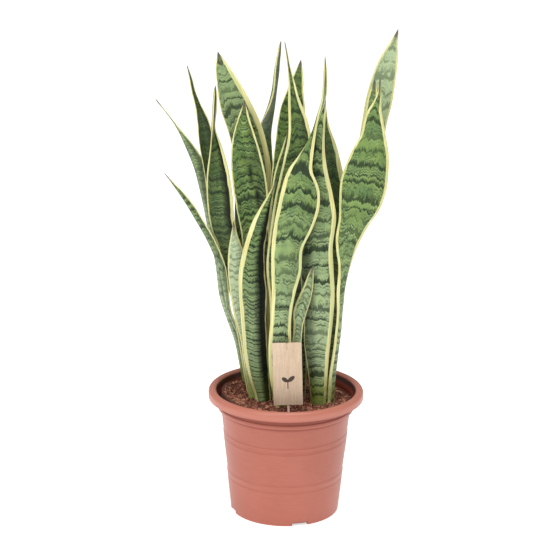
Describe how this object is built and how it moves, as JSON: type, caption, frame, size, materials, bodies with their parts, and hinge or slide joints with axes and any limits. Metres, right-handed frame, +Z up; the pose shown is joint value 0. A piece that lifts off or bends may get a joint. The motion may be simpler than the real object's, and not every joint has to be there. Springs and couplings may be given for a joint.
{
  "type": "potted snake plant",
  "caption": "Clump of upright, yellow-edged, banded sword leaves in soil in a round plastic nursery pot with a rolled lip, with a card label on a stake.",
  "frame": {"origin": "centre of the pot's flat underside, on the surface that the pot stands on", "axes": "+Z up along the pot's axis; the plant's front, with its label, faces -Y; +X to the right of someone who looks at the label"},
  "size_m": [0.3204, 0.209, 0.651],
  "materials": {
    "pot_plastic": "satin",
    "potting_soil": "matte",
    "rhizome_skin": "matte",
    "leaf_blade": "satin",
    "label_board": "matte",
    "stake_wood": "matte"
  },
  "bodies": {
    "root": {"pot": "pot_plastic", "soil": "potting_soil", "rhizome": "rhizome_skin", "leaf_front_left": "leaf_blade", "leaf_short_left": "leaf_blade", "leaf_creased_left": "leaf_blade", "leaf_twisted_left": "leaf_blade", "leaf_tall_left": "leaf_blade", "leaf_low_left": "leaf_blade", "leaf_back_left": "leaf_blade", "leaf_outer_left": "leaf_blade", "leaf_rear_left": "leaf_blade", "leaf_turned_centre": "leaf_blade", "leaf_back_centre": "leaf_blade", "leaf_slim_centre": "leaf_blade", "leaf_tall_centre": "leaf_blade", "leaf_front_centre": "leaf_blade", "leaf_young_centre": "leaf_blade", "leaf_front_right": "leaf_blade", "leaf_shaded_right": "leaf_blade", "leaf_broad_right": "leaf_blade", "leaf_slim_right": "leaf_blade", "leaf_tallest_right": "leaf_blade", "label_card": "label_board", "label_stake": "stake_wood"}
  },
  "joints": []
}
